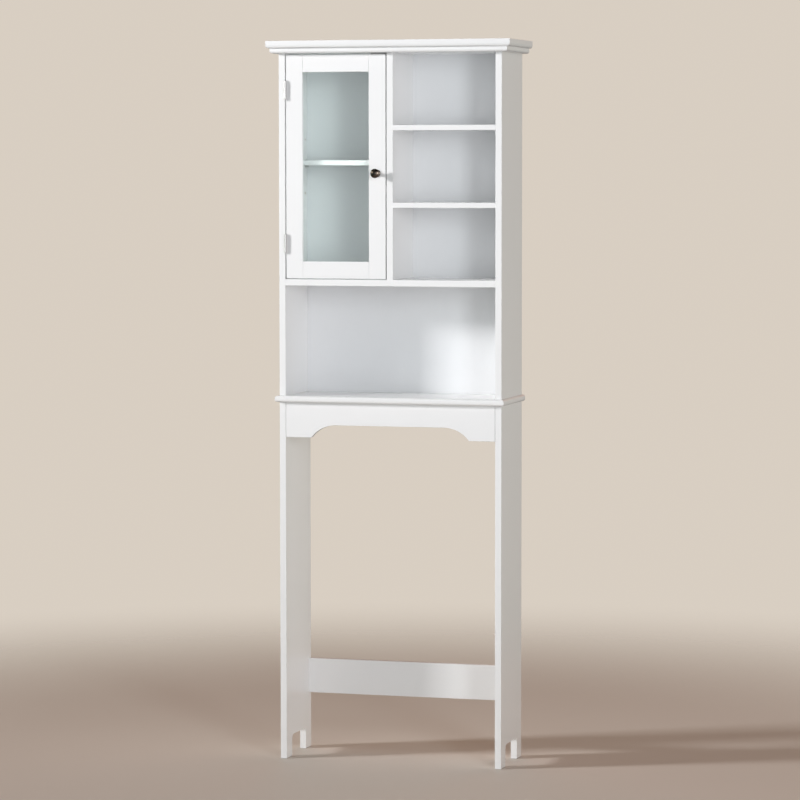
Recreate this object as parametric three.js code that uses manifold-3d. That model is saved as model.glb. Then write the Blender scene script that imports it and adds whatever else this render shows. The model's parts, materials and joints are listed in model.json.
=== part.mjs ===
// Over-the-toilet storage rack in white painted board. Two leg panels, an arched apron and a rear
// stretcher carry a cabinet with one wide compartment, three cubbies and a glazed door.
// Millimetres, +Z up, front towards -Y; the origin is on the floor under the middle of the cap.

import * as THREE from 'three';
import { mergeVertices } from 'three/addons/utils/BufferGeometryUtils.js';
import Module from 'manifold-3d';

const wasm = await Module();
wasm.setup();

// ---------------------------------------------------------------- driving dimensions

const HEIGHT = 1700;
const OUTER_WIDTH = 542; // over the side panels
const PANEL_DEPTH = 190; // side and leg panels, front edge to back edge
const BOARD = 15; // legs, side panels, long shelves and door frame
const THIN_BOARD = 12; // ceiling, small shelves and adjustable shelf
const FIT = 0.3; // clearance around fitted pieces

const LEG_HEIGHT = 851;
const WIDE_SHELF_BOTTOM = 1126.5;
const DIVIDER_CENTRE = 1;

const FOOT_NOTCH = { width: 107, height: 51, corner: 12 };
const APRON = { height: 83, flatHalf: 132, archHalf: 193, rise: 30 };
const STRETCHER = { bottom: 133.5, height: 83.5 };
const DECK = { front: 12.5, side: 8.5, nose: 6 };
const CAP = { thickness: 17, overhang: 25, ovoloOut: 5, ovoloUp: 9 };
const STRIP = { height: 12, overhang: 17, roundOut: 5, roundUp: 6, mitreGap: 0.4 };
const BACK_PANEL = { setback: 172, thickness: 4, intoGroove: 4.5, grooveDepth: 5 };

const DOOR = { sideGap: 3, bottomGap: 2, topGap: 4, stile: 40.5, rail: 40 };
const REBATE = { lip: 6, width: 8 }; // seat for the glass behind the door's front lip
const TENON = { length: 10, thickness: 5, inset: 4, shoulder: 5 };
const GLASS = { thickness: 3, intoRebate: 7.5 };
const BEAD = { width: 7.5, chamfer: 3 };

const HINGE = {
  length: 43,
  fromDoorEnd: 82, // door end to hinge centre
  proud: 3, // pin axis in front of the door's face
  leaf: 1.2,
  reach: 16, // pin axis to the leaf's far edge
  knuckles: 5,
  knuckleRadius: 3.2,
  pinRadius: 1.4,
  pinHead: { radius: 2.4, shoulder: 1.7, rim: 0.7, edge: 1.4, height: 1.6 },
  screwSpacing: 26,
  screwSetback: 7, // door's face to the screw line
};
const WOOD_SCREW = { shank: 1.25, point: 2.5, head: 2.6, headHeight: 0.9, rim: 0.3 };
const FRAME_SCREW_LENGTH = 13;
const DOOR_SCREW_LENGTH = 18;
const STRIKE_SCREW_LENGTH = 12;

const KNOB = {
  radius: 11,
  projection: 24.5,
  belowCentre: 15, // under the middle of the door
  foot: 6,
  footHeight: 1.5,
  neck: 4,
  underside: 16, // door's face to the underside of the head
  rim: 1.5,
  bore: 2.3,
  boreDepth: 10,
};
const KNOB_SCREW = { shank: 2, head: 4, headHeight: 2, chamfer: 0.8 };

const PIN = {
  radius: 2.5,
  shank: 2.2,
  shankLength: 8,
  collar: 3.6,
  collarWidth: 1.2,
  peg: 9,
  chamfer: 0.8,
  holeDepth: 9,
};
const PIN_ROW_SPACING = 64;
const PIN_COLUMNS = [37, 155]; // behind the front edge
const LOOSE_SHELF = { setback: 20, depth: 148, endGap: 1.5 };
const PIN_ROW_OFFSET = 0.25; // middle row above the middle of the cupboard

const CAM = {
  radius: 7.2,
  bore: 7.5,
  boreDepth: 12,
  depth: 11,
  fromEnd: 34, // bore's centre to the end of the board
  slot: 1.8,
  slotDepth: 2.5,
  slotReach: 4.3,
};
const LEG_CAM_COLUMNS = [50, 150]; // behind the front edge

const CATCH = { width: 40, depth: 14, height: 14, wall: 3, magnetHeight: 6, magnetProud: 0.5, airGap: 0.3 };
const STRIKE = { width: 20, height: 9, thickness: 1.2, fromDoorTop: 1 };

// ---------------------------------------------------------------- derived planes

const FRONT = CAP.overhang - (PANEL_DEPTH + CAP.overhang) / 2;
const BACK = FRONT + PANEL_DEPTH;
const OUTER = OUTER_WIDTH / 2;
const INNER = OUTER - BOARD;
const BACK_FACE = FRONT + BACK_PANEL.setback;

const DECK_TOP = LEG_HEIGHT + BOARD;
const WIDE_SHELF_TOP = WIDE_SHELF_BOTTOM + BOARD;
const CAP_BOTTOM = HEIGHT - CAP.thickness;
const CEILING_BOTTOM = CAP_BOTTOM - THIN_BOARD;
const DIVIDER_LEFT = DIVIDER_CENTRE - BOARD / 2;
const DIVIDER_RIGHT = DIVIDER_CENTRE + BOARD / 2;
const CUBBY_HEIGHT = (CEILING_BOTTOM - WIDE_SHELF_TOP - 2 * THIN_BOARD) / 3;

const DOOR_LEFT = DOOR.sideGap - INNER;
const DOOR_RIGHT = DIVIDER_LEFT - DOOR.sideGap;
const DOOR_BOTTOM = WIDE_SHELF_TOP + DOOR.bottomGap;
const DOOR_TOP = CEILING_BOTTOM - DOOR.topGap;
const DOOR_BACK = FRONT + BOARD;
const PANE_LEFT = DOOR_LEFT + DOOR.stile;
const PANE_RIGHT = DOOR_RIGHT - DOOR.stile;
const PANE_BOTTOM = DOOR_BOTTOM + DOOR.rail;
const PANE_TOP = DOOR_TOP - DOOR.rail;
const LATCH_STILE_CENTRE = DOOR_RIGHT - DOOR.stile / 2;

const HINGE_X = (DOOR_LEFT - INNER) / 2;
const HINGE_Y = FRONT - HINGE.proud;
const HINGE_CENTRES = { upper: DOOR_TOP - HINGE.fromDoorEnd, lower: DOOR_BOTTOM + HINGE.fromDoorEnd };
const FRAME_LEAF_X = [-INNER, -INNER + HINGE.leaf];
const DOOR_LEAF_X = [DOOR_LEFT - HINGE.leaf, DOOR_LEFT];

const MIDDLE_PIN_ROW = (WIDE_SHELF_TOP + CEILING_BOTTOM) / 2 + PIN_ROW_OFFSET;
const PIN_ROWS = [-1, 0, 1].map((row) => MIDDLE_PIN_ROW + row * PIN_ROW_SPACING);
const KNOB_HEIGHT = (DOOR_BOTTOM + DOOR_TOP) / 2 - KNOB.belowCentre;
const STRIKE_HEIGHT = DOOR_TOP - STRIKE.height / 2 - STRIKE.fromDoorTop;

// ---------------------------------------------------------------- materials

const FINISHES = {
  paintedBoard: { color: 0xf1f1ef, roughness: 0.42, metalness: 0 },
  whiteHardboard: { color: 0xe2e4e6, roughness: 0.55, metalness: 0 },
  clearGlass: { color: 0xc4d2cd, roughness: 0.05, metalness: 0, transparent: true, opacity: 0.35 },
  brightNickel: { color: 0xd2cfca, roughness: 0.25, metalness: 1 },
  darkNickel: { color: 0x3b3532, roughness: 0.18, metalness: 1 },
  zinc: { color: 0xb5b6b3, roughness: 0.45, metalness: 1 },
  whitePlastic: { color: 0xeceae5, roughness: 0.5, metalness: 0 },
  darkMagnet: { color: 0x3a3a3c, roughness: 0.6, metalness: 0 },
};

// ---------------------------------------------------------------- solids

const X = new THREE.Vector3(1, 0, 0);
const Y = new THREE.Vector3(0, 1, 0);
const Z = new THREE.Vector3(0, 0, 1);
const SIDE_VIEW = new THREE.Matrix4().makeBasis(Y, Z, X); // drawn in (y, z), extruded along +X
const FRONT_VIEW = new THREE.Matrix4().makeBasis(X, Z, Y.clone().negate()); // drawn in (x, z)

function solidOf(geometry) {
  const bare = new THREE.BufferGeometry();
  bare.setAttribute('position', geometry.getAttribute('position'));
  bare.setIndex(geometry.getIndex());
  const merged = mergeVertices(bare, 1e-4);
  return new wasm.Manifold(new wasm.Mesh({
    numProp: 3,
    vertProperties: merged.getAttribute('position').array,
    triVerts: new Uint32Array(merged.getIndex().array),
  }));
}

function geometryOf(solid) {
  const { vertProperties, triVerts } = solid.getMesh();
  const shared = new THREE.BufferGeometry();
  shared.setAttribute('position', new THREE.BufferAttribute(vertProperties, 3));
  shared.setIndex(new THREE.BufferAttribute(triVerts, 1));
  const faceted = shared.toNonIndexed();
  faceted.computeVertexNormals();
  return faceted;
}

function block([x0, y0, z0], [x1, y1, z1]) {
  const box = new THREE.BoxGeometry(x1 - x0, y1 - y0, z1 - z0);
  box.translate((x0 + x1) / 2, (y0 + y1) / 2, (z0 + z1) / 2);
  return solidOf(box);
}

function rod(radius, start, end, segments = 16) {
  const from = new THREE.Vector3(...start);
  const along = new THREE.Vector3(...end).sub(from);
  const cylinder = new THREE.CylinderGeometry(radius, radius, along.length(), segments);
  cylinder.applyQuaternion(new THREE.Quaternion().setFromUnitVectors(Y, along.clone().normalize()));
  cylinder.translate(...from.addScaledVector(along, 0.5).toArray());
  return solidOf(cylinder);
}

function extruded(shape, depth) {
  return new THREE.ExtrudeGeometry(shape, { depth, bevelEnabled: false, curveSegments: 12 });
}

function prismAlongX(shape, x0, x1) {
  return solidOf(extruded(shape, x1 - x0).applyMatrix4(SIDE_VIEW).translate(x0, 0, 0));
}

function prismAlongY(shape, y0, y1) {
  return solidOf(extruded(shape, y1 - y0).applyMatrix4(FRONT_VIEW).translate(0, y1, 0));
}

function prismAlongZ(shape, z0, z1) {
  return solidOf(extruded(shape, z1 - z0).translate(0, 0, z0));
}

function polygon(points) {
  return new THREE.Shape(points.map(([u, v]) => new THREE.Vector2(u, v)));
}

function cutFrom(solid, cutters) {
  return cutters.reduce((left, cutter) => left.subtract(cutter), solid);
}

// ---------------------------------------------------------------- scene graph

const rack = new THREE.Group();
const cabinet = new THREE.Group();
const door = new THREE.Group();
rack.add(cabinet, door);

function addMesh(group, name, geometry, finish) {
  const mesh = new THREE.Mesh(geometry, new THREE.MeshStandardMaterial(FINISHES[finish]));
  mesh.name = name;
  group.add(mesh);
  return mesh;
}

function addSolid(group, name, solid, finish) {
  return addMesh(group, name, geometryOf(solid), finish);
}

// A turned piece drawn along its own +Y axis, set down at a point and aimed in a direction.
function addTurned(group, name, geometry, finish, position, direction) {
  const mesh = addMesh(group, name, geometry, finish);
  mesh.position.set(...position);
  mesh.quaternion.setFromUnitVectors(Y, direction);
  return mesh;
}

// ---------------------------------------------------------------- boards with moulded edges

// A board whose front and side edges follow one profile of [inset, height] points, bottom to top.
// The side view and the front view are each extruded, and their common part has mitred corners.
function mouldedBoard(profile, frontOverhang, sideOverhang) {
  const bottom = profile[0][1];
  const top = profile[profile.length - 1][1];
  const front = profile.map(([inset, z]) => [FRONT - frontOverhang + inset, z]);
  const right = profile.map(([inset, z]) => [OUTER + sideOverhang - inset, z]);
  const left = right.map(([x, z]) => [-x, z]).reverse();
  const sideView = polygon([[BACK, bottom], ...front, [BACK, top]]);
  const frontView = polygon([...right, ...left]);
  const reach = OUTER + sideOverhang + 1;
  const alongX = prismAlongX(sideView, -reach, reach);
  const alongY = prismAlongY(frontView, FRONT - frontOverhang - 1, BACK + 1);
  return alongX.intersect(alongY);
}

// Quarter of an ellipse that swells outwards from its lower, inner end to its upper, outer end.
function ovolo(innerInset, bottom, out, up, steps = 6) {
  const points = [];
  for (let step = 0; step <= steps; step += 1) {
    const angle = (step / steps) * (Math.PI / 2);
    points.push([innerInset - out * Math.sin(angle), bottom + up * (1 - Math.cos(angle))]);
  }
  return points;
}

function addCrown() {
  const capProfile = [...ovolo(CAP.ovoloOut, CAP_BOTTOM, CAP.ovoloOut, CAP.ovoloUp), [0, HEIGHT]];
  addSolid(cabinet, 'crown_cap', mouldedBoard(capProfile, CAP.overhang, CAP.overhang), 'paintedBoard');

  const stripBottom = CAP_BOTTOM - STRIP.height;
  const stripProfile = [
    ...ovolo(STRIP.roundOut, stripBottom, STRIP.roundOut, STRIP.roundUp),
    [0, CAP_BOTTOM],
  ];
  const core = block([-OUTER, FRONT, stripBottom - 1], [OUTER, BACK + 1, CAP_BOTTOM + 1]);
  const collar = mouldedBoard(stripProfile, STRIP.overhang, STRIP.overhang).subtract(core);
  const out = STRIP.overhang + 1;
  const frontPlan = polygon([
    [-OUTER + STRIP.mitreGap, FRONT],
    [-OUTER + STRIP.mitreGap - out, FRONT - out],
    [OUTER - STRIP.mitreGap + out, FRONT - out],
    [OUTER - STRIP.mitreGap, FRONT],
  ]);
  const sidePlan = (side) => polygon([
    [side * OUTER, FRONT],
    [side * (OUTER + out), FRONT - out],
    [side * (OUTER + out), BACK],
    [side * OUTER, BACK],
  ]);
  const cutStrip = (plan) => collar.intersect(prismAlongZ(plan, stripBottom, CAP_BOTTOM));
  addSolid(cabinet, 'crown_strip_front', cutStrip(frontPlan), 'paintedBoard');
  addSolid(cabinet, 'crown_strip_left', cutStrip(sidePlan(-1)), 'paintedBoard');
  addSolid(cabinet, 'crown_strip_right', cutStrip(sidePlan(1)), 'paintedBoard');
}

function addDeck() {
  const lower = ovolo(DECK.nose, LEG_HEIGHT, DECK.nose, DECK.nose);
  const upper = lower.map(([inset, z]) => [inset, LEG_HEIGHT + DECK_TOP - z]).reverse();
  addSolid(cabinet, 'deck_board', mouldedBoard([...lower, ...upper], DECK.front, DECK.side), 'paintedBoard');
}

// ---------------------------------------------------------------- stand

function legOutline() {
  const middle = (FRONT + BACK) / 2;
  const half = FOOT_NOTCH.width / 2;
  const { height, corner } = FOOT_NOTCH;
  const shape = new THREE.Shape();
  shape.moveTo(FRONT, 0);
  shape.lineTo(middle - half, 0);
  shape.lineTo(middle - half, height - corner);
  shape.absarc(middle - half + corner, height - corner, corner, Math.PI, Math.PI / 2, true);
  shape.absarc(middle + half - corner, height - corner, corner, Math.PI / 2, 0, true);
  shape.lineTo(middle + half, 0);
  shape.lineTo(BACK, 0);
  shape.lineTo(BACK, LEG_HEIGHT);
  shape.lineTo(FRONT, LEG_HEIGHT);
  return shape;
}

function addLegs() {
  for (const [name, side] of [['left', -1], ['right', 1]]) {
    const [x0, x1] = side < 0 ? [-OUTER, -INNER] : [INNER, OUTER];
    const panel = prismAlongX(legOutline(), x0, x1);
    const seats = LEG_CAM_COLUMNS.map((setback) => ({
      centre: [side * INNER, FRONT + setback, LEG_HEIGHT - CAM.fromEnd],
      outward: X.clone().multiplyScalar(-side),
    }));
    addSolid(cabinet, `${name}_leg_panel`, cutFrom(panel, seats.map(camBore)), 'paintedBoard');
    seats.forEach((seat, i) => addCam(`${name}_leg_cam_${['front', 'rear'][i]}`, seat));
  }
}

function apronOutline() {
  const bottom = LEG_HEIGHT - APRON.height;
  const flat = bottom + APRON.rise;
  const run = APRON.archHalf - APRON.flatHalf;
  const radius = (run * run + APRON.rise * APRON.rise) / (2 * APRON.rise);
  const sweep = Math.asin(run / radius);
  const upright = Math.PI / 2;
  const shape = new THREE.Shape();
  shape.moveTo(-INNER, bottom);
  shape.lineTo(-APRON.archHalf, bottom);
  shape.absarc(-APRON.flatHalf, flat - radius, radius, upright + sweep, upright, true);
  shape.absarc(APRON.flatHalf, flat - radius, radius, upright, upright - sweep, true);
  shape.lineTo(INNER, bottom);
  shape.lineTo(INNER, LEG_HEIGHT);
  shape.lineTo(-INNER, LEG_HEIGHT);
  return shape;
}

function addCrossRails() {
  const stretcherTop = STRETCHER.bottom + STRETCHER.height;
  const rails = [
    {
      name: 'front_apron',
      board: prismAlongY(apronOutline(), FRONT, FRONT + BOARD),
      camHeight: LEG_HEIGHT - APRON.height / 2,
      camFace: FRONT + BOARD,
    },
    {
      name: 'rear_stretcher',
      board: block([-INNER, BACK - BOARD, STRETCHER.bottom], [INNER, BACK, stretcherTop]),
      camHeight: STRETCHER.bottom + STRETCHER.height / 2,
      camFace: BACK,
    },
  ];
  for (const { name, board, camHeight, camFace } of rails) {
    const seats = [-1, 1].map((side) => ({
      centre: [side * (INNER - CAM.fromEnd), camFace, camHeight],
      outward: Y,
    }));
    addSolid(cabinet, name, cutFrom(board, seats.map(camBore)), 'paintedBoard');
    seats.forEach((seat, i) => addCam(`${name}_cam_${['left', 'right'][i]}`, seat));
  }
}

// ---------------------------------------------------------------- cam locks

function camBore({ centre, outward }) {
  const face = new THREE.Vector3(...centre);
  const floor = face.clone().addScaledVector(outward, -CAM.boreDepth);
  const mouth = face.clone().addScaledVector(outward, 1);
  return rod(CAM.bore, floor.toArray(), mouth.toArray(), 24);
}

function camGeometry() {
  const disc = rod(CAM.radius, [0, 0, 0], [0, CAM.depth, 0], 24);
  const reach = CAM.slotReach;
  const half = CAM.slot / 2;
  const floor = CAM.depth - CAM.slotDepth;
  const slots = [
    block([-reach, floor, -half], [reach, CAM.depth + 1, half]),
    block([-half, floor, -reach], [half, CAM.depth + 1, reach]),
  ];
  return geometryOf(cutFrom(disc, slots));
}

function addCam(name, { centre, outward }) {
  const foot = new THREE.Vector3(...centre).addScaledVector(outward, -CAM.depth - FIT);
  addTurned(cabinet, name, camGeometry(), 'zinc', foot.toArray(), outward);
}

// ---------------------------------------------------------------- cabinet

function pinHoles(faceX, direction) {
  return PIN_ROWS.flatMap((z) => PIN_COLUMNS.map((setback) => {
    const y = FRONT + setback;
    return rod(PIN.radius, [faceX - direction, y, z], [faceX + direction * PIN.holeDepth, y, z]);
  }));
}

function backPanelGroove(side) {
  const innerX = side * (INNER - 1);
  const outerX = side * (INNER + BACK_PANEL.grooveDepth);
  return block(
    [Math.min(innerX, outerX), BACK_FACE - FIT, DECK_TOP - 1],
    [Math.max(innerX, outerX), BACK_FACE + BACK_PANEL.thickness + FIT, CAP_BOTTOM + 1],
  );
}

function addCabinetBoards() {
  const leftPanel = block([-OUTER, FRONT, DECK_TOP], [-INNER, BACK, CAP_BOTTOM]);
  const leftCuts = [backPanelGroove(-1), ...pinHoles(-INNER, -1), ...hingePilots(-INNER, -1)];
  addSolid(cabinet, 'left_side_panel', cutFrom(leftPanel, leftCuts), 'paintedBoard');

  const rightPanel = block([INNER, FRONT, DECK_TOP], [OUTER, BACK, CAP_BOTTOM]);
  addSolid(cabinet, 'right_side_panel', rightPanel.subtract(backPanelGroove(1)), 'paintedBoard');

  const divider = block([DIVIDER_LEFT, FRONT, WIDE_SHELF_TOP], [DIVIDER_RIGHT, BACK_FACE, CEILING_BOTTOM]);
  addSolid(cabinet, 'centre_divider', cutFrom(divider, pinHoles(DIVIDER_LEFT, 1)), 'paintedBoard');

  const wideShelf = block([-INNER, FRONT, WIDE_SHELF_BOTTOM], [INNER, BACK_FACE, WIDE_SHELF_TOP]);
  addSolid(cabinet, 'wide_shelf', wideShelf, 'paintedBoard');

  const ceiling = block([-INNER, FRONT, CEILING_BOTTOM], [INNER, BACK, CAP_BOTTOM]);
  addSolid(cabinet, 'ceiling_panel', ceiling, 'paintedBoard');

  ['lower', 'upper'].forEach((name, i) => {
    const bottom = WIDE_SHELF_TOP + (i + 1) * CUBBY_HEIGHT + i * THIN_BOARD;
    const shelf = block([DIVIDER_RIGHT, FRONT, bottom], [INNER, BACK_FACE, bottom + THIN_BOARD]);
    addSolid(cabinet, `${name}_cubby_shelf`, shelf, 'paintedBoard');
  });

  const panelEdge = INNER + BACK_PANEL.intoGroove;
  const backPanel = block(
    [-panelEdge, BACK_FACE, DECK_TOP],
    [panelEdge, BACK_FACE + BACK_PANEL.thickness, CEILING_BOTTOM],
  );
  addSolid(cabinet, 'back_panel', backPanel, 'whiteHardboard');
}

function addLooseShelf() {
  const bottom = MIDDLE_PIN_ROW + PIN.radius;
  const front = FRONT + LOOSE_SHELF.setback;
  const shelf = block(
    [-INNER + LOOSE_SHELF.endGap, front, bottom],
    [DIVIDER_LEFT - LOOSE_SHELF.endGap, front + LOOSE_SHELF.depth, bottom + THIN_BOARD],
  );
  addSolid(rack, 'adjustable_shelf', shelf, 'paintedBoard');
}

function addShelfPins() {
  const profile = [
    [0, -PIN.shankLength],
    [PIN.shank, -PIN.shankLength],
    [PIN.shank, 0],
    [PIN.collar, 0],
    [PIN.collar, PIN.collarWidth],
    [PIN.radius, PIN.collarWidth],
    [PIN.radius, PIN.peg - PIN.chamfer],
    [PIN.radius - PIN.chamfer, PIN.peg],
    [0, PIN.peg],
  ].map(([r, y]) => new THREE.Vector2(r, y));
  const walls = [
    { side: 'left', faceX: -INNER, outward: X },
    { side: 'right', faceX: DIVIDER_LEFT, outward: X.clone().negate() },
  ];
  for (const { side, faceX, outward } of walls) {
    PIN_COLUMNS.forEach((setback, i) => {
      const name = `shelf_pin_${side}_${['front', 'rear'][i]}`;
      const position = [faceX, FRONT + setback, MIDDLE_PIN_ROW];
      addTurned(cabinet, name, new THREE.LatheGeometry(profile, 16), 'brightNickel', position, outward);
    });
  }
}

// ---------------------------------------------------------------- glazed door

function glassRebate() {
  return block(
    [PANE_LEFT - REBATE.width, FRONT + REBATE.lip, PANE_BOTTOM - REBATE.width],
    [PANE_RIGHT + REBATE.width, DOOR_BACK + 1, PANE_TOP + REBATE.width],
  );
}

// Stub tenons on both ends of a rail, or with a clearance the mortises that take them.
function tenons(railBottom, railTop, clearance) {
  const y0 = FRONT + TENON.shoulder - clearance;
  const y1 = FRONT + TENON.shoulder + TENON.thickness + clearance;
  const z0 = railBottom + TENON.inset - clearance;
  const z1 = railTop - TENON.inset + clearance;
  const reach = TENON.length + clearance;
  return [
    block([PANE_LEFT - reach, y0, z0], [PANE_LEFT + 1, y1, z1]),
    block([PANE_RIGHT - 1, y0, z0], [PANE_RIGHT + reach, y1, z1]),
  ];
}

const SOLID_RAIL = {
  top: [PANE_TOP + REBATE.width, DOOR_TOP],
  bottom: [DOOR_BOTTOM, PANE_BOTTOM - REBATE.width],
};

function addDoorFrame() {
  const mortises = Object.values(SOLID_RAIL).flatMap(([low, high]) => tenons(low, high, FIT));
  const knobHole = rod(
    KNOB.bore,
    [LATCH_STILE_CENTRE, FRONT - 1, KNOB_HEIGHT],
    [LATCH_STILE_CENTRE, DOOR_BACK + 1, KNOB_HEIGHT],
  );
  const strikePilot = rod(
    WOOD_SCREW.shank + FIT,
    [LATCH_STILE_CENTRE, DOOR_BACK - STRIKE_SCREW_LENGTH, STRIKE_HEIGHT],
    [LATCH_STILE_CENTRE, DOOR_BACK + 1, STRIKE_HEIGHT],
  );

  const hingeStile = block([DOOR_LEFT, FRONT, DOOR_BOTTOM], [PANE_LEFT, DOOR_BACK, DOOR_TOP]);
  const hingeCuts = [glassRebate(), ...mortises, ...hingePilots(DOOR_LEFT, 1)];
  addSolid(door, 'door_hinge_stile', cutFrom(hingeStile, hingeCuts), 'paintedBoard');

  const latchStile = block([PANE_RIGHT, FRONT, DOOR_BOTTOM], [DOOR_RIGHT, DOOR_BACK, DOOR_TOP]);
  const latchCuts = [glassRebate(), ...mortises, knobHole, strikePilot];
  addSolid(door, 'door_latch_stile', cutFrom(latchStile, latchCuts), 'paintedBoard');

  for (const [name, low, high] of [['top', PANE_TOP, DOOR_TOP], ['bottom', DOOR_BOTTOM, PANE_BOTTOM]]) {
    const bar = block([PANE_LEFT, FRONT, low], [PANE_RIGHT, DOOR_BACK, high]).subtract(glassRebate());
    const rail = tenons(...SOLID_RAIL[name], 0).reduce((joined, tenon) => joined.add(tenon), bar);
    addSolid(door, `door_${name}_rail`, rail, 'paintedBoard');
  }
}

function addGlazing() {
  const glassFront = FRONT + REBATE.lip;
  const glassBack = glassFront + GLASS.thickness;
  const pane = block(
    [PANE_LEFT - GLASS.intoRebate, glassFront, PANE_BOTTOM - GLASS.intoRebate],
    [PANE_RIGHT + GLASS.intoRebate, glassBack, PANE_TOP + GLASS.intoRebate],
  );
  addSolid(door, 'door_glass', pane, 'clearGlass');

  // Bead section as [distance in from the rebate wall, y], with its back inner corner chamfered.
  const section = [
    [0, glassBack],
    [BEAD.width, glassBack],
    [BEAD.width, DOOR_BACK - BEAD.chamfer],
    [BEAD.width - BEAD.chamfer, DOOR_BACK],
    [0, DOOR_BACK],
  ];
  const wall = {
    left: PANE_LEFT - REBATE.width,
    right: PANE_RIGHT + REBATE.width,
    bottom: PANE_BOTTOM - REBATE.width,
    top: PANE_TOP + REBATE.width,
  };
  for (const [name, inward] of [['bottom', 1], ['top', -1]]) {
    const outline = polygon(section.map(([inset, y]) => [y, wall[name] + inward * inset]));
    addSolid(door, `glass_bead_${name}`, prismAlongX(outline, wall.left, wall.right), 'paintedBoard');
  }
  for (const [name, inward] of [['left', 1], ['right', -1]]) {
    const outline = polygon(section.map(([inset, y]) => [wall[name] + inward * inset, y]));
    const bead = prismAlongZ(outline, wall.bottom + BEAD.width, wall.top - BEAD.width);
    addSolid(door, `glass_bead_${name}`, bead, 'paintedBoard');
  }
}

function addKnob() {
  const { radius, projection, foot, footHeight, neck, underside, rim } = KNOB;
  const neckCurve = new THREE.CubicBezierCurve(
    new THREE.Vector2(foot, footHeight),
    new THREE.Vector2(neck, footHeight * 3),
    new THREE.Vector2(neck, underside - rim * 2),
    new THREE.Vector2(radius * 0.8, underside),
  );
  const crown = projection - underside - rim;
  const dome = new THREE.EllipseCurve(0, underside + rim, radius, crown, 0, Math.PI / 2);
  const profile = [
    new THREE.Vector2(0, 0),
    new THREE.Vector2(foot, 0),
    ...neckCurve.getPoints(10),
    ...dome.getPoints(9).slice(0, -1),
    new THREE.Vector2(0, projection),
  ];
  const turned = solidOf(new THREE.LatheGeometry(profile, 32));
  const bored = turned.subtract(rod(KNOB.bore, [0, -1, 0], [0, KNOB.boreDepth, 0]));
  const position = [LATCH_STILE_CENTRE, FRONT, KNOB_HEIGHT];
  addTurned(door, 'door_knob', geometryOf(bored), 'darkNickel', position, Y.clone().negate());

  const { shank, head, headHeight, chamfer } = KNOB_SCREW;
  const shankEnd = BOARD + KNOB.boreDepth - 1;
  const screwProfile = [
    [0, -headHeight],
    [head - chamfer, -headHeight],
    [head, -headHeight + chamfer],
    [head, 0],
    [shank, 0],
    [shank, shankEnd],
    [0, shankEnd],
  ].map(([r, y]) => new THREE.Vector2(r, y));
  addTurned(
    door, 'knob_screw', new THREE.LatheGeometry(screwProfile, 16), 'zinc',
    [LATCH_STILE_CENTRE, DOOR_BACK, KNOB_HEIGHT], Y.clone().negate(),
  );
}

// ---------------------------------------------------------------- hinges

function hingeScrewSpots() {
  return Object.entries(HINGE_CENTRES).flatMap(([hinge, centre]) => [['top', 1], ['bottom', -1]].map(
    ([end, side]) => ({
      name: `${hinge}_hinge_screw_${end}`,
      y: FRONT + HINGE.screwSetback,
      z: centre + side * HINGE.screwSpacing / 2,
    }),
  ));
}

// Pilot holes for the leaf screws, drilled into a board from its face at faceX.
function hingePilots(faceX, direction) {
  const depth = direction < 0 ? FRAME_SCREW_LENGTH : DOOR_SCREW_LENGTH;
  return hingeScrewSpots().map(({ y, z }) => rod(
    WOOD_SCREW.shank + FIT, [faceX - direction, y, z], [faceX + direction * depth, y, z], 12,
  ));
}

// One leaf: a plate with its own share of the knuckles, bored for the pin and the screws.
function hingeLeaf([x0, x1], centre, firstKnuckle) {
  const bottom = centre - HINGE.length / 2;
  const pitch = HINGE.length / HINGE.knuckles;
  const clear = HINGE.knuckleRadius + 0.5;
  let leaf = block([x0, HINGE_Y + clear, bottom], [x1, HINGE_Y + HINGE.reach, bottom + HINGE.length]);
  for (let i = firstKnuckle; i < HINGE.knuckles; i += 2) {
    const low = bottom + i * pitch + FIT / 2;
    const high = bottom + (i + 1) * pitch - FIT / 2;
    leaf = leaf
      .add(rod(HINGE.knuckleRadius, [HINGE_X, HINGE_Y, low], [HINGE_X, HINGE_Y, high], 20))
      .add(block([x0, HINGE_Y + HINGE.pinRadius, low], [x1, HINGE_Y + clear + 1, high]));
  }
  const bore = rod(
    HINGE.pinRadius + FIT,
    [HINGE_X, HINGE_Y, bottom - 1],
    [HINGE_X, HINGE_Y, bottom + HINGE.length + 1],
  );
  const screwHoles = hingeScrewSpots().map(({ y, z }) => (
    rod(WOOD_SCREW.head + FIT, [x0 - 1, y, z], [x1 + 1, y, z])
  ));
  return cutFrom(leaf, [bore, ...screwHoles]);
}

function hingePinGeometry() {
  const { radius, shoulder, rim, edge, height } = HINGE.pinHead;
  const half = HINGE.length / 2 + FIT;
  const upperHalf = [
    [HINGE.pinRadius, half],
    [radius, half],
    [radius, half + rim],
    [shoulder, half + edge],
    [0, half + height],
  ];
  const lowerHalf = upperHalf.map(([r, y]) => [r, -y]).reverse();
  const profile = [...lowerHalf, ...upperHalf].map(([r, y]) => new THREE.Vector2(r, y));
  return new THREE.LatheGeometry(profile, 16);
}

function addHinges() {
  for (const [name, centre] of Object.entries(HINGE_CENTRES)) {
    addSolid(cabinet, `${name}_hinge_frame_leaf`, hingeLeaf(FRAME_LEAF_X, centre, 0), 'brightNickel');
    addSolid(door, `${name}_hinge_door_leaf`, hingeLeaf(DOOR_LEAF_X, centre, 1), 'brightNickel');
    addTurned(
      cabinet, `${name}_hinge_pin`, hingePinGeometry(),
      'brightNickel', [HINGE_X, HINGE_Y, centre], Z,
    );
  }
}

// A countersunk wood screw along +Y: its point at the origin and the flat of its head at y = length.
function woodScrewGeometry(length) {
  const { shank, point, head, headHeight, rim } = WOOD_SCREW;
  const profile = [
    [0, 0],
    [shank, point],
    [shank, length - rim - headHeight],
    [head, length - rim],
    [head, length],
    [0, length],
  ].map(([r, y]) => new THREE.Vector2(r, y));
  return new THREE.LatheGeometry(profile, 16);
}

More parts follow.
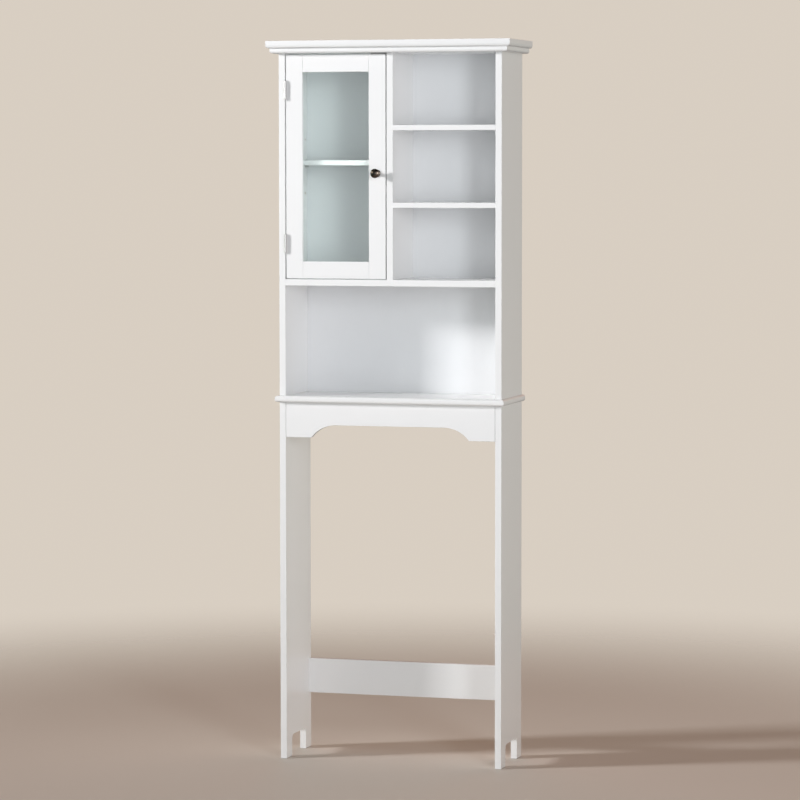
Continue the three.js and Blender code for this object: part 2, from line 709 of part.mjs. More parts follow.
function addHingeScrews() {
  for (const { name, y, z } of hingeScrewSpots()) {
    const frameTip = [FRAME_LEAF_X[1] - FRAME_SCREW_LENGTH, y, z];
    const doorTip = [DOOR_LEAF_X[0] + DOOR_SCREW_LENGTH, y, z];
    const towardsDoor = X;
    const towardsFrame = X.clone().negate();
    addTurned(
      cabinet, name.replace('screw', 'frame_screw'), woodScrewGeometry(FRAME_SCREW_LENGTH),
      'brightNickel', frameTip, towardsDoor,
    );
    addTurned(
      door, name.replace('screw', 'door_screw'), woodScrewGeometry(DOOR_SCREW_LENGTH),
      'brightNickel', doorTip, towardsFrame,
    );
  }
}

// ---------------------------------------------------------------- magnetic catch

function addCatch() {
  const left = LATCH_STILE_CENTRE - CATCH.width / 2;
  const right = LATCH_STILE_CENTRE + CATCH.width / 2;
  const strikeBack = DOOR_BACK + STRIKE.thickness;
  const magnetFront = strikeBack + CATCH.airGap;
  const caseFront = magnetFront + CATCH.magnetProud;
  const magnetBottom = STRIKE_HEIGHT - CATCH.magnetHeight / 2;
  const magnetTop = STRIKE_HEIGHT + CATCH.magnetHeight / 2;
  const magnetBack = caseFront + CATCH.depth - CATCH.wall;

  const pocket = block(
    [left + CATCH.wall, caseFront - 1, magnetBottom - FIT],
    [right - CATCH.wall, magnetBack + FIT, magnetTop + FIT],
  );
  const caseBody = block(
    [left, caseFront, CEILING_BOTTOM - CATCH.height],
    [right, caseFront + CATCH.depth, CEILING_BOTTOM],
  );
  addSolid(cabinet, 'catch_housing', caseBody.subtract(pocket), 'whitePlastic');
  const magnet = block(
    [left + CATCH.wall + FIT, magnetFront, magnetBottom],
    [right - CATCH.wall - FIT, magnetBack, magnetTop],
  );
  addSolid(cabinet, 'catch_magnet', magnet, 'darkMagnet');

  const plate = block(
    [LATCH_STILE_CENTRE - STRIKE.width / 2, DOOR_BACK, STRIKE_HEIGHT - STRIKE.height / 2],
    [LATCH_STILE_CENTRE + STRIKE.width / 2, strikeBack, STRIKE_HEIGHT + STRIKE.height / 2],
  );
  const hole = rod(
    WOOD_SCREW.head + FIT,
    [LATCH_STILE_CENTRE, DOOR_BACK - 1, STRIKE_HEIGHT],
    [LATCH_STILE_CENTRE, strikeBack + 1, STRIKE_HEIGHT],
  );
  addSolid(door, 'catch_strike_plate', plate.subtract(hole), 'brightNickel');
  addTurned(
    door, 'strike_screw', woodScrewGeometry(STRIKE_SCREW_LENGTH), 'zinc',
    [LATCH_STILE_CENTRE, strikeBack - STRIKE_SCREW_LENGTH, STRIKE_HEIGHT], Y,
  );
}

addLegs();
addCrossRails();
addDeck();
addCabinetBoards();
addCrown();
addLooseShelf();
addShelfPins();
addDoorFrame();
addGlazing();
addKnob();
addHinges();
addHingeScrews();
addCatch();

export default rack;
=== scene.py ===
"""Finishes an over-the-toilet storage rack: painted boards, glazed door, fittings and studio."""

import contextlib
import json
import math

import bpy
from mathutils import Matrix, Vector


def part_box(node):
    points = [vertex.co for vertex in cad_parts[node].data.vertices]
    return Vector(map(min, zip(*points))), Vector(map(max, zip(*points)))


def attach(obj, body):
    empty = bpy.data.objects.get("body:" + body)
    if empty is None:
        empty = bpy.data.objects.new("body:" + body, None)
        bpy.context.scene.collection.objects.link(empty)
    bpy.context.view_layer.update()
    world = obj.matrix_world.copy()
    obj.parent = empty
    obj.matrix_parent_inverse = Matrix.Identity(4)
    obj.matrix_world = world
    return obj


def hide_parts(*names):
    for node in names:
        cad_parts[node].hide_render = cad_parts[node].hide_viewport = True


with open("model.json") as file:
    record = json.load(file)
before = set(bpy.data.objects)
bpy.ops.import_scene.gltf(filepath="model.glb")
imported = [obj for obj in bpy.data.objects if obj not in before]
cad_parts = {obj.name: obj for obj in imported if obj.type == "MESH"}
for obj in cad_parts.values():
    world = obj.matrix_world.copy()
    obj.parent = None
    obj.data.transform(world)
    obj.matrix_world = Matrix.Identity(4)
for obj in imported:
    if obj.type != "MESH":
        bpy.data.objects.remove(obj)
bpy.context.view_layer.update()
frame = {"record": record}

bl_info = {
    "name": "Over-the-toilet storage rack",
    "version": (1, 0, 0),
    "blender": (4, 5, 0),
    "location": "View3D > Sidebar > Rack",
    "description": "Makes the boards, glazed door, fittings and studio of a bathroom storage rack",
    "category": "Object",
}

MM = 0.001
BORE_SLACK = 0.3 * MM
TOUCH = 1e-6  # metres within which two points count as level with each other
BODY_OF = {
    node: body
    for body, nodes in frame["record"]["behaviour"]["bodies"].items()
    for node in nodes
}
X = Vector((1, 0, 0))
Y = Vector((0, 1, 0))
Z = Vector((0, 0, 1))


# ------------------------------------------------------------------ settings


def length(name, description, default):
    return bpy.props.FloatProperty(
        name=name, description=description, default=default, min=0, subtype="DISTANCE", unit="LENGTH"
    )


def angle(name, description, degrees):
    return bpy.props.FloatProperty(
        name=name, description=description, default=math.radians(degrees), subtype="ANGLE", unit="ROTATION"
    )


def colour(name, description, default):
    return bpy.props.FloatVectorProperty(
        name=name, description=description, default=default, size=3, min=0, max=1, subtype="COLOR"
    )


class RackSizes(bpy.types.PropertyGroup):
    """Sizes that the frame's boxes don't hold."""

    arris: length("Arris", "Rounding on the edges of every painted board", 0.5 * MM)
    notch_width: length("Foot notch width", "Clear width between the two feet of a leg panel", 107 * MM)
    notch_height: length("Foot notch height", "Height of the notch between the feet", 51 * MM)
    notch_corner: length("Foot notch corner", "Radius in the notch's upper corners", 12 * MM)
    arch_rise: length("Arch rise", "Height of the apron's arch above its lower edge", 30 * MM)
    arch_radius: length("Arch radius", "Radius of the two ends of the apron's arch", 77 * MM)
    arch_flat: length("Arch flat", "Length of the straight top of the arch", 264 * MM)
    deck_nose: length("Deck nose", "Radius on the front and side edges of the deck", 6 * MM)
    cap_ovolo_out: length("Cap ovolo width", "How far the cap's lower moulding steps back", 5 * MM)
    cap_ovolo_up: length("Cap ovolo height", "Height of the cap's lower moulding", 9 * MM)
    strip_round_out: length("Strip moulding width", "How far the strip's moulding steps back", 5 * MM)
    strip_round_up: length("Strip moulding height", "Height of the strip's moulding", 6 * MM)
    groove_depth: length("Groove depth", "Depth of the grooves that hold the back panel", 5 * MM)
    rebate_width: length("Rebate width", "Width of the seat for the glass", 8 * MM)
    pin_hole: length("Pin hole radius", "Radius of the holes for the shelf pins", 2.5 * MM)
    pin_spacing: length("Pin row spacing", "Distance between rows of shelf pin holes", 64 * MM)
    cam_bore: length("Cam bore radius", "Radius of the bore round a cam lock", 7.5 * MM)
    clearance: length("Clearance", "Gap round a fitted piece", 0.3 * MM)
    apron_seam: length("Apron seam", "Gap between the apron's ends and the legs", 0.8 * MM)
    door_seam: length("Door seam", "Gap between the door's rails and stiles", 0.3 * MM)
    groove_lip: length("Groove lip gap", "Gap between the back panel and its groove's front lip", 0.9 * MM)


class RackColours(bpy.types.PropertyGroup):
    """Colours of the rack's finishes."""

    paint: colour("Paint", "Satin white lacquer on the boards", (0.915, 0.916, 0.914))
    hardboard: colour("Hardboard face", "White face of the back panel", (0.88, 0.89, 0.9))
    fibre: colour("Bare fibreboard", "Bare board in bores and on the back panel's rear", (0.36, 0.24, 0.14))
    glass: colour("Glass", "Tint of the door's glass", (0.88, 0.912, 0.9))
    bright_nickel: colour("Bright nickel", "Hinges, shelf pins and strike plate", (0.66, 0.655, 0.64))
    dark_nickel: colour("Dark nickel", "Door knob", (0.13, 0.105, 0.085))
    zinc: colour("Zinc", "Cam locks and hidden screws", (0.5, 0.51, 0.52))
    plastic: colour("Plastic", "Case of the magnetic catch", (0.8, 0.79, 0.76))
    ferrite: colour("Ferrite", "Magnet of the catch", (0.05, 0.05, 0.055))


class StageSettings(bpy.types.PropertyGroup):
    """Camera, light and floor."""

    turn: angle("Camera turn", "How far the camera stands round to the right of the rack", 16.392)
    pitch: angle("Camera pitch", "How far the camera looks down", 3.956)
    distance: length("Camera distance", "Level distance from the rack's axis to the camera", 8.1213)
    height: length("Camera height", "Height of the camera above the floor", 1.4157)
    aim: angle("Camera aim", "How far the camera is aimed to the left of the rack's axis", 0.016)
    roll: angle("Camera roll", "How far the camera is turned about its own line of sight", -0.043)
    lens: bpy.props.FloatProperty(
        name="Lens", description="Focal length of the camera", default=154.6, min=1, unit="CAMERA"
    )
    floor: colour("Floor", "Plain pale floor", (0.66, 0.615, 0.56))
    backdrop: colour("Backdrop", "Plain pale background", (0.69, 0.62, 0.54))


# ------------------------------------------------------------------ finishes


class Signal:
    """One shader socket. Sums on it add Math nodes to its finish."""

    def __init__(self, finish, socket):
        self.finish = finish
        self.socket = socket

    def _math(self, operation, *values):
        return self.finish.node("ShaderNodeMath", {"operation": operation}, dict(enumerate(values)))

    def __add__(self, other):
        return self._math("ADD", self, other)

    def __sub__(self, other):
        return self._math("SUBTRACT", self, other)

    def __mul__(self, other):
        return self._math("MULTIPLY", self, other)

    def __rsub__(self, other):
        return self._math("SUBTRACT", other, self)

    def above(self, edge, width):
        """0 below the edge and 1 past its width, with a soft step between them."""
        settings = {"interpolation_type": "SMOOTHSTEP"}
        return self.finish.node(
            "ShaderNodeMapRange", settings, {"Value": self, "From Min": edge, "From Max": edge + width}
        )

    __radd__ = __add__
    __rmul__ = __mul__


class Shading:
    """A node tree under construction."""

    def __init__(self, tree):
        self.tree = tree
        self.tree.nodes.clear()

    def node(self, kind, settings=None, inputs=None, output=0):
        """Adds a node, sets it up, fills its sockets with values or links, and gives one output."""
        made = self.tree.nodes.new(kind)
        for key, value in (settings or {}).items():
            setattr(made, key, value)
        for key, value in (inputs or {}).items():
            if isinstance(value, Signal):
                self.tree.links.new(value.socket, made.inputs[key])
            else:
                made.inputs[key].default_value = value
        return Signal(self, made.outputs[output])

    def place(self):
        return self.node("ShaderNodeTexCoord", output="Object")

    def stretched(self, place, scale):
        return self.node("ShaderNodeVectorMath", {"operation": "MULTIPLY"}, {0: place, 1: scale})

    def noise(self, place, scale, detail=2, roughness=0.5):
        inputs = {"Vector": place, "Scale": scale, "Detail": detail, "Roughness": roughness}
        return self.node("ShaderNodeTexNoise", inputs=inputs)

    def cells(self, place, scale):
        return self.node("ShaderNodeTexVoronoi", inputs={"Vector": place, "Scale": scale})

    def mix(self, share, first, second):
        inputs = {"Factor": share, 6: first, 7: second}
        return self.node("ShaderNodeMix", {"data_type": "RGBA"}, inputs, output=2)

    def bump(self, height, distance, strength=1.0):
        inputs = {"Height": height, "Distance": distance, "Strength": strength}
        return self.node("ShaderNodeBump", inputs=inputs)

    def output(self, shader, kind="ShaderNodeOutputMaterial"):
        end = self.tree.nodes.new(kind)
        self.tree.links.new(shader.socket, end.inputs["Surface"])


class Finish(Shading):
    """A material under construction."""

    def __init__(self, name):
        self.material = bpy.data.materials.new(name)
        self.material.use_nodes = True
        super().__init__(self.material.node_tree)

    def surface(self, **inputs):
        """Ends the finish in a Principled shader. Socket names are given with underscores."""
        named = {key.replace("_", " "): value for key, value in inputs.items()}
        self.output(self.node("ShaderNodeBsdfPrincipled", inputs=named))


def opaque(rgb, shade=1.0):
    return [channel * shade for channel in rgb] + [1.0]


def satin_paint():
    """Sprayed white lacquer: a faint orange peel, slow drift of shade and a few dust nibs."""
    paint = bpy.context.scene.rack_colours.paint
    finish = Finish("satin_white_paint")
    place = finish.place()
    peel = finish.noise(place, 620, detail=1.5)
    drift = finish.noise(place, 5.5, detail=3)
    grain = finish.noise(place, 2600, detail=2)
    nibs = 1 - finish.cells(place, 90).above(0.035, 0.05)
    base = finish.mix(drift, opaque(paint, 0.975), opaque(paint, 1.0))
    finish.surface(
        Base_Color=finish.mix(nibs * 0.05, base, opaque(paint, 0.8)),
        Roughness=0.2 + drift * 0.04 + peel * 0.05,
        Normal=finish.bump(peel * 0.8 + grain * 0.15 + nibs * 0.5, 0.03 * MM, 0.7),
        IOR=1.5,
    )
    return finish.material


def hardboard_face():
    """Thin sheet with a smooth white printed face and a trace of its fibres."""
    white = bpy.context.scene.rack_colours.hardboard
    finish = Finish("white_hardboard_face")
    place = finish.place()
    fibres = finish.noise(finish.stretched(place, (260, 260, 40)), 1, detail=4, roughness=0.6)
    mottle = finish.noise(place, 14, detail=3)
    finish.surface(
        Base_Color=finish.mix(fibres * 0.5 + mottle * 0.5, opaque(white, 0.965), opaque(white)),
        Roughness=0.26 + fibres * 0.1,
        Normal=finish.bump(fibres, 0.02 * MM, 0.5),
    )
    return finish.material


def bare_fibre():
    """Brown pressed fibre with flecks and the screen's fine weave pressed into it."""
    brown = bpy.context.scene.rack_colours.fibre
    finish = Finish("bare_fibreboard")
    place = finish.place()
    flecks = finish.noise(finish.stretched(place, (900, 900, 320)), 1, detail=5, roughness=0.65)
    clouds = finish.noise(place, 22, detail=4)
    screen = finish.cells(place, 620)
    dark = finish.mix(clouds, opaque(brown, 0.78), opaque(brown, 1.0))
    finish.surface(
        Base_Color=finish.mix(flecks.above(0.42, 0.3), dark, opaque(brown, 1.35)),
        Roughness=0.78 + flecks * 0.15,
        Normal=finish.bump(flecks * 0.6 + screen * 0.6, 0.12 * MM, 0.8),
    )
    return finish.material


def float_glass():
    """Clear glass with a green tint, through which lamps light the cupboard behind it."""
    tint = bpy.context.scene.rack_colours.glass
    finish = Finish("clear_float_glass")
    place = finish.place()
    ripple = finish.noise(place, 9, detail=2)
    film = finish.noise(place, 34, detail=4).above(0.55, 0.3)
    glass = finish.node(
        "ShaderNodeBsdfPrincipled",
        inputs={
            "Base Color": finish.mix(film, opaque(tint), opaque(tint, 0.985)),
            "Roughness": 0.004 + film * 0.02,
            "Normal": finish.bump(ripple, 0.01 * MM, 0.3),
            "IOR": 1.5,
            "Transmission Weight": 1.0,
        },
    )
    clear = finish.node("ShaderNodeBsdfTransparent", inputs={"Color": opaque(tint)})
    lamp_ray = finish.node("ShaderNodeLightPath", output="Is Shadow Ray")
    finish.output(finish.node("ShaderNodeMixShader", inputs={0: lamp_ray, 1: glass, 2: clear}))
    return finish.material


def plated_metal(name, tint, roughness, scratches=0.3):
    """Plate with a soft cloudiness, fine hairlines and small pits."""
    rgb = getattr(bpy.context.scene.rack_colours, tint)
    finish = Finish(name)
    place = finish.place()
    hairlines = finish.noise(finish.stretched(place, (900, 900, 5200)), 1, detail=4, roughness=0.7)
    clouds = finish.noise(place, 240, detail=3)
    pits = 1 - finish.cells(place, 1900).above(0.05, 0.1)
    finish.surface(
        Base_Color=finish.mix(clouds * 0.6 + pits * 0.4, opaque(rgb), opaque(rgb, 0.82)),
        Metallic=1.0,
        Roughness=roughness + clouds * 0.06 + hairlines * 0.08,
        Normal=finish.bump(hairlines * scratches - pits * 0.4, 0.02 * MM, 0.5),
    )
    return finish.material


def moulded_plastic():
    """White catch case with the spark-eroded texture of its mould."""
    white = bpy.context.scene.rack_colours.plastic
    finish = Finish("moulded_white_plastic")
    place = finish.place()
    texture = finish.noise(place, 2400, detail=3)
    drift = finish.noise(place, 60)
    finish.surface(
        Base_Color=finish.mix(drift, opaque(white, 0.96), opaque(white)),
        Roughness=0.42 + texture * 0.14,
        Normal=finish.bump(texture, 0.04 * MM, 0.6),
    )
    return finish.material


def dull_ferrite():
    """Sintered dark magnet with a gritty surface."""
    dark = bpy.context.scene.rack_colours.ferrite
    finish = Finish("dull_ferrite")
    place = finish.place()
    grit = finish.noise(place, 1500, detail=5, roughness=0.7)
    finish.surface(
        Base_Color=finish.mix(grit, opaque(dark, 0.7), opaque(dark, 1.5)),
        Roughness=0.55 + grit * 0.2,
        Normal=finish.bump(grit, 0.06 * MM, 0.8),
    )
    return finish.material


FINISHES = {
    "painted_board": satin_paint,
    "white_hardboard": hardboard_face,
    "clear_glass": float_glass,
    "bright_nickel": lambda: plated_metal("bright_nickel_plate", "bright_nickel", 0.3),
    "dark_nickel": lambda: plated_metal("dark_nickel_plate", "dark_nickel", 0.08, scratches=0.1),
    "zinc": lambda: plated_metal("dull_zinc", "zinc", 0.42),
    "white_plastic": moulded_plastic,
    "ferrite": dull_ferrite,
    "bare_fibre": bare_fibre,
}
MADE_FINISHES = {}


def finish_named(slot):
    """The material of a slot, made the first time that it is asked for."""
    if slot not in MADE_FINISHES:
        MADE_FINISHES[slot] = FINISHES[slot]()
    return MADE_FINISHES[slot]


# ------------------------------------------------------------------ bench work


def select_only(piece):
    bpy.ops.object.select_all(action="DESELECT")
    piece.select_set(True)
    bpy.context.view_layer.objects.active = piece


def settle(piece):
    """Puts a piece's place into its mesh, so that the object stands unturned at the origin."""
    select_only(piece)
    bpy.ops.object.transform_apply(location=True, rotation=True, scale=True)
    return piece


def block(low, high):
    low, high = Vector(low), Vector(high)
    bpy.ops.object.select_all(action="DESELECT")
    bpy.ops.mesh.primitive_cube_add(size=1, location=(low + high) / 2, scale=high - low)
    return settle(bpy.context.active_object)


def rod(radius, start, end, sides=48):
    start, end = Vector(start), Vector(end)
    turn = (end - start).to_track_quat("Z", "Y").to_euler()
    bpy.ops.object.select_all(action="DESELECT")
    bpy.ops.mesh.primitive_cylinder_add(
        vertices=sides, radius=radius, depth=(end - start).length, location=(start + end) / 2, rotation=turn
    )
    return settle(bpy.context.active_object)


def cone(radius_start, radius_end, start, end, sides=48):
    start, end = Vector(start), Vector(end)
    turn = (end - start).to_track_quat("Z", "Y").to_euler()
    bpy.ops.object.select_all(action="DESELECT")
    bpy.ops.mesh.primitive_cone_add(
        vertices=sides, radius1=radius_start, radius2=radius_end, depth=(end - start).length,
        location=(start + end) / 2, rotation=turn,
    )
    return settle(bpy.context.active_object)


@contextlib.contextmanager
def opened(piece, kind, wanted):
    """Edit mode on a piece, with the elements selected whose corner points pass a test."""
    select_only(piece)
    bpy.ops.object.mode_set(mode="EDIT")
    bpy.ops.mesh.select_mode(type=kind)
    bpy.ops.mesh.select_all(action="DESELECT")
    bpy.ops.object.mode_set(mode="OBJECT")
    mesh = piece.data
    points = [vertex.co for vertex in mesh.vertices]
    if kind == "VERT":
        for vertex in mesh.vertices:
            vertex.select = wanted([vertex.co])
    else:
        for element in mesh.edges if kind == "EDGE" else mesh.polygons:
            element.select = wanted([points[index] for index in element.vertices])
    bpy.ops.object.mode_set(mode="EDIT")
    yield
    bpy.ops.object.mode_set(mode="OBJECT")


def on_plane(axis, value):
    """A test that all the points given lie on a plane square to an axis (0, 1 or 2)."""
    return lambda points: all(abs(point[axis] - value) < TOUCH for point in points)


def round_edges(piece, radius, wanted, segments=8):
    with opened(piece, "EDGE", wanted):
        bpy.ops.mesh.bevel(offset=radius, segments=segments, profile=0.5, affect="EDGES", clamp_overlap=False)
    return piece


def apply_modifier(piece, kind, **settings):
    modifier = piece.modifiers.new(kind.lower(), kind)
    for key, value in settings.items():
        setattr(modifier, key, value)
    select_only(piece)
    bpy.ops.object.modifier_apply(modifier=modifier.name)
    return piece


def combine(piece, others, operation, **settings):
    for other in others:
        apply_modifier(piece, "BOOLEAN", operation=operation, solver="EXACT", object=other, **settings)
        bpy.data.objects.remove(other)
    return piece


def cut(piece, *cutters):
    return combine(piece, cutters, "DIFFERENCE")


def drill(piece, *cutters):
    """Cuts holes whose walls show bare fibreboard."""
    for cutter in cutters:
        cutter.data.materials.append(finish_named("bare_fibre"))
    return combine(piece, cutters, "DIFFERENCE", material_mode="TRANSFER")


def fused(piece, *others):
    return combine(piece, others, "UNION")


def soften(piece, radius, segments=3):
    """Rounds every edge that turns by more than a moulding's facets do."""
    return apply_modifier(
        piece, "BEVEL", width=radius, segments=segments, limit_method="ANGLE",
        angle_limit=math.radians(30), miter_outer="MITER_ARC", use_clamp_overlap=True,
    )


def turned(profile, base, direction, steps=48):
    """A lathe-turned piece from (radius, height) points, stood on base and aimed along direction."""
    bpy.ops.object.select_all(action="DESELECT")
    bpy.ops.mesh.primitive_plane_add(size=MM, location=(0, 0, 0))
    piece = bpy.context.active_object
    bpy.ops.object.mode_set(mode="EDIT")
    bpy.ops.mesh.select_mode(type="VERT")
    bpy.ops.mesh.select_all(action="SELECT")
    bpy.ops.mesh.merge(type="CENTER")
    here = Vector((0, 0, 0))
    start = Vector((profile[0][0], 0, profile[0][1]))
    bpy.ops.transform.translate(value=start - here)
    here = start
    for radius, height in profile[1:]:
        there = Vector((radius, 0, height))
        bpy.ops.mesh.extrude_vertices_move(TRANSFORM_OT_translate={"value": there - here})
        here = there
    bpy.ops.mesh.select_all(action="SELECT")
    bpy.ops.mesh.spin(steps=steps, angle=2 * math.pi, center=(0, 0, 0), axis=(0, 0, 1))
    bpy.ops.mesh.select_all(action="SELECT")
    bpy.ops.mesh.remove_doubles(threshold=0.002 * MM)
    bpy.ops.mesh.normals_make_consistent(inside=False)
    bpy.ops.object.mode_set(mode="OBJECT")
    piece.location = base
    piece.rotation_euler = Vector(direction).to_track_quat("Z", "Y").to_euler()
    return settle(piece)


def arc(centre, radius, start, end, steps=8):
    """Points (radius, height) of a circle or ellipse arc, angles in degrees from the level."""
    across, up = radius if isinstance(radius, tuple) else (radius, radius)
    points = []
    for step in range(steps + 1):
        turn = math.radians(start + (end - start) * step / steps)
        points.append((centre[0] + across * math.cos(turn), centre[1] + up * math.sin(turn)))
    return points


def copied(piece, move=(0, 0, 0)):
    """A separate copy of a piece with its own mesh, moved by a step."""
    select_only(piece)
    bpy.ops.object.duplicate(linked=False)
    copy = bpy.context.active_object
    copy.location = move
    return settle(copy)


def centre_of(node):
    low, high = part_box(node)
    return (low + high) / 2


def smooth(piece):
    """Shades rounded edges smooth and keeps the broad faces flat."""
    select_only(piece)
    bpy.ops.object.shade_smooth_by_angle(angle=math.radians(40))
    apply_modifier(piece, "WEIGHTED_NORMAL", keep_sharp=True, weight=50)


def install(piece, node, slot):
    """Names and finishes a piece, and fixes it in the frame in place of its CAD node."""
    piece.name = f"{node}_finished"
    piece.data.name = piece.name
    smooth(piece)
    if piece.data.materials:
        piece.data.materials[0] = finish_named(slot)
    else:
        piece.data.materials.append(finish_named(slot))
    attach(piece, BODY_OF[node])
    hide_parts(node)
    return piece


# ------------------------------------------------------------------ boards


def board(node, seam=0):
    """A board's square blank, painted, in the place of its CAD node, with a seam left at both ends."""
    low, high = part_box(node)
    blank = block(low + X * seam, high - X * seam)
    blank.data.materials.append(finish_named("painted_board"))
    return blank


def bore_for(node, radius, axis, face, outward):
    """A round cutter for a fitting that is sunk along X (axis 0) or Y (axis 1) into a board's face."""
    low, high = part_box(node)
    outer = (low + high) / 2
    inner = outer.copy()
    outer[axis] = face + outward * MM
    inner[axis] = (low if outward > 0 else high)[axis] - outward * BORE_SLACK
    return rod(radius, inner, outer)


class RACK_OT_legs(bpy.types.Operator):
    """Leg panels, each cut to two feet and bored for its cam locks."""

    bl_idname = "rack.legs"
    bl_label = "Leg panels"

    def execute(self, context):
        sizes = context.scene.rack_sizes
        for side, outward in (("left", 1), ("right", -1)):
            node = f"{side}_leg_panel"
            low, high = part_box(node)
            middle = (low.y + high.y) / 2
            notch = block(
                (low.x - 5 * MM, middle - sizes.notch_width / 2, low.z - 10 * MM),
                (high.x + 5 * MM, middle + sizes.notch_width / 2, low.z + sizes.notch_height),
            )
            corners = upper_edges(low.z + sizes.notch_height, axis=1)
            round_edges(notch, sizes.notch_corner, corners, segments=10)
            panel = soften(cut(board(node), notch), sizes.arris)
            face = high.x if outward > 0 else low.x
            for place in ("front", "rear"):
                drill(panel, bore_for(f"{side}_leg_cam_{place}", sizes.cam_bore, 0, face, outward))
            install(panel, node, "painted_board")
        return {"FINISHED"}


def upper_edges(height, axis):
    """A test for the two top edges of a block that run square to an axis."""

    def test(points):
        return on_plane(2, height)(points) and abs(points[0][axis] - points[1][axis]) < TOUCH

    return test


class RACK_OT_cross_rails(bpy.types.Operator):
    """Arched apron and rear stretcher between the legs."""

    bl_idname = "rack.cross_rails"
    bl_label = "Apron and stretcher"

    def execute(self, context):
        sizes = context.scene.rack_sizes
        for node in ("front_apron", "rear_stretcher"):
            low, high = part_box(node)
            rail = board(node, sizes.apron_seam if node == "front_apron" else 0)
            if node == "front_apron":
                half = sizes.arch_flat / 2 + sizes.arch_radius
                crown = low.z + sizes.arch_rise
                arch = block(
                    (-half, low.y - 5 * MM, crown - 1.2 * sizes.arch_radius), (half, high.y + 5 * MM, crown)
                )
                round_edges(arch, sizes.arch_radius, upper_edges(crown, axis=0), segments=28)
                cut(rail, arch)
            soften(rail, sizes.arris)
            for side in ("left", "right"):
                drill(rail, bore_for(f"{node}_cam_{side}", sizes.cam_bore, 1, high.y, 1))
            install(rail, node, "painted_board")
        return {"FINISHED"}


def moulded_edges(back, *heights):
    """A test for the front and side edges at some heights, leaving the back edge out."""

    def test(points):
        return any(on_plane(2, height)(points) for height in heights) and not on_plane(1, back)(points)

    return test


class RACK_OT_deck(bpy.types.Operator):
    """Deck board with a rounded nose along its front and sides."""

    bl_idname = "rack.deck"
    bl_label = "Deck board"

    def execute(self, context):
        sizes = context.scene.rack_sizes
        low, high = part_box("deck_board")
        deck = board("deck_board")
        round_edges(deck, sizes.deck_nose, moulded_edges(high.y, low.z, high.z), segments=9)
        install(soften(deck, sizes.arris, segments=2), "deck_board", "painted_board")
        return {"FINISHED"}


class RACK_OT_crown(bpy.types.Operator):
    """Cornice: a moulded cap with three mitred strips under it."""

    bl_idname = "rack.crown"
    bl_label = "Cornice"

    def execute(self, context):
        sizes = context.scene.rack_sizes
        cap = self.moulded_block(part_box("crown_cap"), sizes.cap_ovolo_out, sizes.cap_ovolo_up)
        install(soften(cap, sizes.arris), "crown_cap", "painted_board")

        left_low, left_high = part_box("crown_strip_left")
        right_low, right_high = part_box("crown_strip_right")
        outline = (left_low, right_high)
        gap = 0.1 * MM
        front_low, front_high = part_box("crown_strip_front")
        inner_front = left_low.y + front_high.y - front_low.y
        corners = {
            "left": (Vector((left_high.x, inner_front, 0)), Vector((1, -1, 0))),
            "right": (Vector((right_low.x, inner_front, 0)), Vector((-1, -1, 0))),
        }
        for name in ("front", "left", "right"):
            strip = self.moulded_block(outline, sizes.strip_round_out, sizes.strip_round_up)
            soften(strip, sizes.arris)
            core = block(
                (left_high.x, inner_front, left_low.z - MM),
                (right_low.x, right_high.y + 5 * MM, right_high.z + MM),
            )
            cut(strip, core)
            for side, (corner, towards_front) in corners.items():
                if name == "front":
                    self.keep_side(strip, corner, towards_front, gap)
                elif name == side:
                    self.keep_side(strip, corner, -towards_front, gap)
            if name != "front":
                outward = Vector((-1 if name == "left" else 1, 0, 0))
                self.keep_side(strip, Vector((0, 0, 0)), outward, 0)
            install(strip, f"crown_strip_{name}", "painted_board")
        return {"FINISHED"}

    def moulded_block(self, corners, out, up):
        """A block whose lower front and side edges carry an ovolo, out wide and up high.

        The block is stretched until the ovolo is round, rounded, and pressed back."""
        low, high = corners
        stretch = out / up
        tall = Vector((high.x, high.y, low.z + (high.z - low.z) * stretch))
        blank = block(low, tall)
        round_edges(blank, out, moulded_edges(high.y, low.z), segments=10)
        with opened(blank, "VERT", lambda points: True):
            bpy.ops.transform.resize(value=(1, 1, 1 / stretch), center_override=low)
        return blank

    def keep_side(self, piece, point, normal, gap):
        """Saws a piece along an upright plane and keeps what lies on the normal's side."""
        with opened(piece, "FACE", lambda points: True):
            bpy.ops.mesh.bisect(
                plane_co=point + normal.normalized() * gap, plane_no=normal,
                use_fill=True, clear_inner=True, clear_outer=False, threshold=1e-7,
            )


